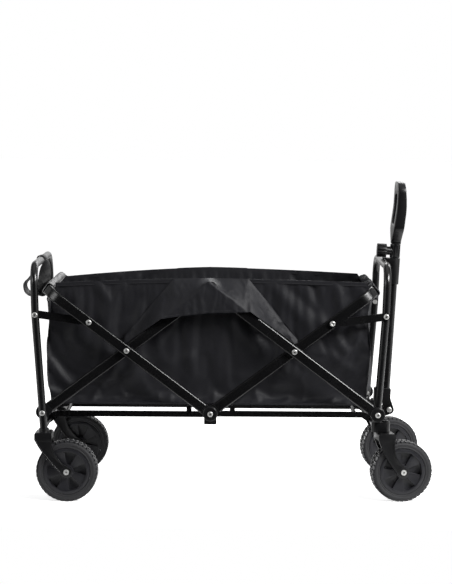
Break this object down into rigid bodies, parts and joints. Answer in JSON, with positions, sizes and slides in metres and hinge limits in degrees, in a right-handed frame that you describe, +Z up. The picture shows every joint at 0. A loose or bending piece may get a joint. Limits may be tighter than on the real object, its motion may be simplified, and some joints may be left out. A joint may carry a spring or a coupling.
{
  "type": "folding cart",
  "caption": "Folding pull cart: a fabric box in a black scissor frame on two fixed wheels and two swivel casters, with a telescopic handle.",
  "frame": {"origin": "on the ground under the centre bottom pivots, midway between the sides", "axes": "+X towards the pull handle, +Y to the left side, +Z up"},
  "size_m": [1.2027, 0.556, 0.9197],
  "materials": {
    "fabric": "woven, matt",
    "tyre": "moulded, matt",
    "zinc": "zinc plated",
    "plastic": "moulded, satin",
    "black_paint": "semi-gloss black powder coat"
  },
  "bodies": {
    "centre": {"centre_crossbar": "black_paint", "centre_bolts": "zinc"},
    "rear_rail": {"rear_top_rail": "black_paint", "rear_rail_end_caps": "plastic", "rear_rail_bolts": "zinc", "rear_rail_sleeve": "fabric"},
    "rear_lift": {"rear_lift_bar_right": "black_paint", "rear_lift_bar_left": "black_paint", "rear_lift_end_caps": "plastic"},
    "rear_end": {"rear_end_frame": "black_paint", "rear_fork_right": "plastic", "rear_fork_left": "plastic", "rear_axle_right": "zinc", "rear_axle_left": "zinc", "rear_end_bolts": "zinc", "rear_carry_strap": "fabric"},
    "rear_wheel_right": {"rear_wheel_right": "plastic", "rear_tyre_right": "tyre"},
    "rear_wheel_left": {"rear_wheel_left": "plastic", "rear_tyre_left": "tyre"},
    "rear_link": {"rear_links": "black_paint"},
    "rear_base": {"rear_base_rails": "black_paint"},
    "front_rail": {"front_top_rail": "black_paint", "front_rail_end_caps": "plastic", "front_rail_bolts": "zinc", "front_rail_sleeve": "fabric"},
    "front_lift": {"front_lift_bar_right": "black_paint", "front_lift_bar_left": "black_paint", "front_lift_end_caps": "plastic"},
    "front_end": {"front_end_frame": "black_paint", "caster_block_right": "plastic", "caster_block_left": "plastic", "front_end_bolts": "zinc"},
    "caster_right": {"caster_fork_right": "plastic", "caster_axle_right": "zinc"},
    "caster_left": {"caster_fork_left": "plastic", "caster_axle_left": "zinc"},
    "front_wheel_right": {"front_wheel_right": "plastic", "front_tyre_right": "tyre"},
    "front_wheel_left": {"front_wheel_left": "plastic", "front_tyre_left": "tyre"},
    "front_link": {"front_links": "black_paint", "front_link_rivets": "zinc"},
    "front_base": {"front_base_rails": "black_paint"},
    "basket": {"top_joint_bolts": "zinc", "side_wall_right": "fabric", "side_wall_left": "fabric", "end_wall_rear": "fabric", "end_wall_front": "fabric", "floor_panel": "fabric", "hood_right": "fabric", "hood_left": "fabric"},
    "handle": {"handle_foot": "plastic", "handle_outer_tube": "black_paint", "handle_collar": "plastic", "handle_knob": "plastic", "handle_clip": "plastic"},
    "handle_slide": {"handle_inner_tube": "black_paint", "handle_grip": "plastic"}
  },
  "joints": [
    {"name": "fold", "type": "hinge", "parent": "centre", "child": "rear_rail", "pos_m": [0, 0, 0.256], "axis": [0, 1, 0], "range_deg": [0, 39], "deforming": ["side_wall_right", "side_wall_left", "end_wall_rear", "end_wall_front", "floor_panel", "hood_right", "hood_left"]},
    {"name": "rear_cross", "type": "hinge", "parent": "rear_rail", "child": "rear_lift", "pos_m": [-0.2415, 0, 0.43733], "axis": [0, -1, 0], "range_deg": [0, 78]},
    {"name": "rear_bottom", "type": "hinge", "parent": "rear_lift", "child": "rear_end", "pos_m": [-0.483, 0, 0.256], "axis": [0, 1, 0], "range_deg": [0, 39]},
    {"name": "front_fold", "type": "hinge", "parent": "centre", "child": "front_rail", "pos_m": [0, 0, 0.256], "axis": [0, -1, 0], "range_deg": [0, 39]},
    {"name": "front_cross", "type": "hinge", "parent": "front_rail", "child": "front_lift", "pos_m": [0.2415, 0, 0.43733], "axis": [0, 1, 0], "range_deg": [0, 78]},
    {"name": "front_bottom", "type": "hinge", "parent": "front_lift", "child": "front_end", "pos_m": [0.483, 0, 0.256], "axis": [0, -1, 0], "range_deg": [0, 39]},
    {"name": "top_joint", "type": "hinge", "parent": "rear_lift", "child": "basket", "pos_m": [0, 0, 0.61867], "axis": [0, 1, 0], "range_deg": [0, 39]},
    {"name": "rear_link_turn", "type": "hinge", "parent": "rear_end", "child": "rear_link", "pos_m": [-0.50404, 0, 0.54006], "axis": [0, -1, 0], "range_deg": [0, 74.2]},
    {"name": "front_link_turn", "type": "hinge", "parent": "front_end", "child": "front_link", "pos_m": [0.50404, 0, 0.54006], "axis": [0, 1, 0], "range_deg": [0, 74.2]},
    {"name": "rear_base_lift", "type": "hinge", "parent": "rear_end", "child": "rear_base", "pos_m": [-0.452, 0, 0.232], "axis": [0, -1, 0], "range_deg": [0, 75.2]},
    {"name": "front_base_lift", "type": "hinge", "parent": "front_end", "child": "front_base", "pos_m": [0.452, 0, 0.232], "axis": [0, 1, 0], "range_deg": [0, 75.2]},
    {"name": "rear_wheel_right_spin", "type": "hinge", "parent": "rear_end", "child": "rear_wheel_right", "pos_m": [-0.412, -0.24, 0.089], "axis": [0, 1, 0], "continuous": true},
    {"name": "rear_wheel_left_spin", "type": "hinge", "parent": "rear_end", "child": "rear_wheel_left", "pos_m": [-0.412, 0.24, 0.089], "axis": [0, 1, 0], "continuous": true},
    {"name": "caster_right_swivel", "type": "hinge", "parent": "front_end", "child": "caster_right", "pos_m": [0.506, -0.216, 0.15], "axis": [0, 0, 1], "continuous": true},
    {"name": "caster_left_swivel", "type": "hinge", "parent": "front_end", "child": "caster_left", "pos_m": [0.506, 0.216, 0.15], "axis": [0, 0, 1], "continuous": true},
    {"name": "front_wheel_right_spin", "type": "hinge", "parent": "caster_right", "child": "front_wheel_right", "pos_m": [0.5544, -0.20833, 0.089], "axis": [-0.1564, 0.9877, 0], "continuous": true},
    {"name": "front_wheel_left_spin", "type": "hinge", "parent": "caster_left", "child": "front_wheel_left", "pos_m": [0.5544, 0.22367, 0.089], "axis": [-0.1564, 0.9877, 0], "continuous": true},
    {"name": "handle_tilt", "type": "hinge", "parent": "front_end", "child": "handle", "pos_m": [0.534, 0, 0.238], "axis": [0, 1, 0], "range_deg": [0, 100]},
    {"name": "handle_extend", "type": "slide", "parent": "handle", "child": "handle_slide", "axis": [0.0524, 0, 0.9986], "range_m": [0, 0.25]}
  ],
  "couplings": [
    {"joint": "rear_cross", "follows": "fold", "ratio": 2},
    {"joint": "rear_bottom", "follows": "fold", "ratio": 1},
    {"joint": "front_fold", "follows": "fold", "ratio": 1},
    {"joint": "front_cross", "follows": "fold", "ratio": 2},
    {"joint": "front_bottom", "follows": "fold", "ratio": 1},
    {"joint": "top_joint", "follows": "fold", "ratio": 1},
    {"joint": "rear_link_turn", "follows": "fold", "ratio": 1.9021},
    {"joint": "front_link_turn", "follows": "fold", "ratio": 1.9021},
    {"joint": "rear_base_lift", "follows": "fold", "ratio": 1.926},
    {"joint": "front_base_lift", "follows": "fold", "ratio": 1.926}
  ]
}
